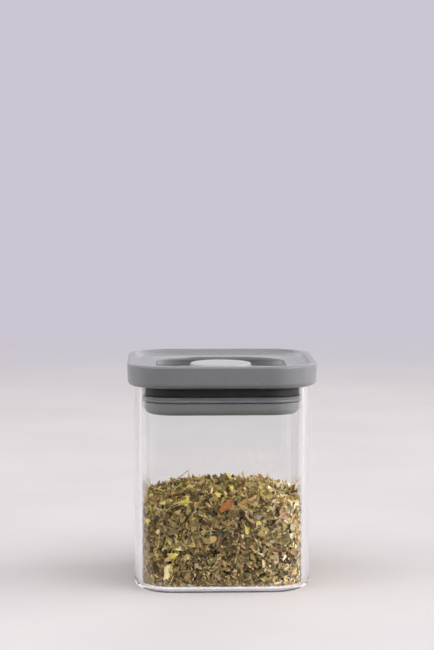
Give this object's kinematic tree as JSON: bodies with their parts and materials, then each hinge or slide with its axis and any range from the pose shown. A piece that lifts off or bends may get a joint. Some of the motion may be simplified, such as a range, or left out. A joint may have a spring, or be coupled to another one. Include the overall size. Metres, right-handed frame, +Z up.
{
  "type": "spice jar",
  "caption": "Square glass spice jar with rounded corners, part filled with dried herbs, under a grey push-top lid whose round button wedges a silicone seal outwards.",
  "frame": {"origin": "centre of the jar's flat base, where it stands", "axes": "+Z up through the lid's button, the front of the picture looks along -Y, +X to the right seen from the front"},
  "size_m": [0.072, 0.072, 0.0859],
  "materials": {
    "glass": "clear, polished",
    "herbs": null,
    "lid_plastic": "fine satin moulding, mid grey",
    "liner_plastic": "satin, dark grey",
    "silicone": "soft matte silicone, dark grey",
    "cup_plastic": "semi-gloss, grey",
    "button_plastic": "satin, light grey",
    "inner_plastic": "natural white acetal",
    "spring_steel": "bright drawn wire"
  },
  "bodies": {
    "jar": {"glass_jar": "glass", "herb_fill": "herbs"},
    "lid": {"lid_cover": "lid_plastic", "lid_liner": "liner_plastic", "seal_ring": "silicone", "plug_cup": "cup_plastic", "return_spring": "spring_steel"},
    "button": {"button_cap": "button_plastic", "cam_stem": "inner_plastic", "expander_frame": "inner_plastic"},
    "latch": {"latch_wire": "spring_steel"}
  },
  "joints": [
    {"name": "lid_lift", "type": "slide", "parent": "jar", "child": "lid", "axis": [0, 0, 1], "range_m": [0, 0.06]},
    {"name": "button_press", "type": "slide", "parent": "lid", "child": "button", "axis": [0, 0, 1], "range_m": [-0.0008, 0.007], "deforming": ["return_spring"]},
    {"name": "latch_swing", "type": "hinge", "parent": "lid", "child": "latch", "pos_m": [-0.0002, 0, 0.06965], "axis": [0, 1, 0], "range_deg": [-3, 18]}
  ],
  "couplings": [
    {"joint": "latch_swing", "follows": "button_press", "rad_per_m": 40.93}
  ]
}
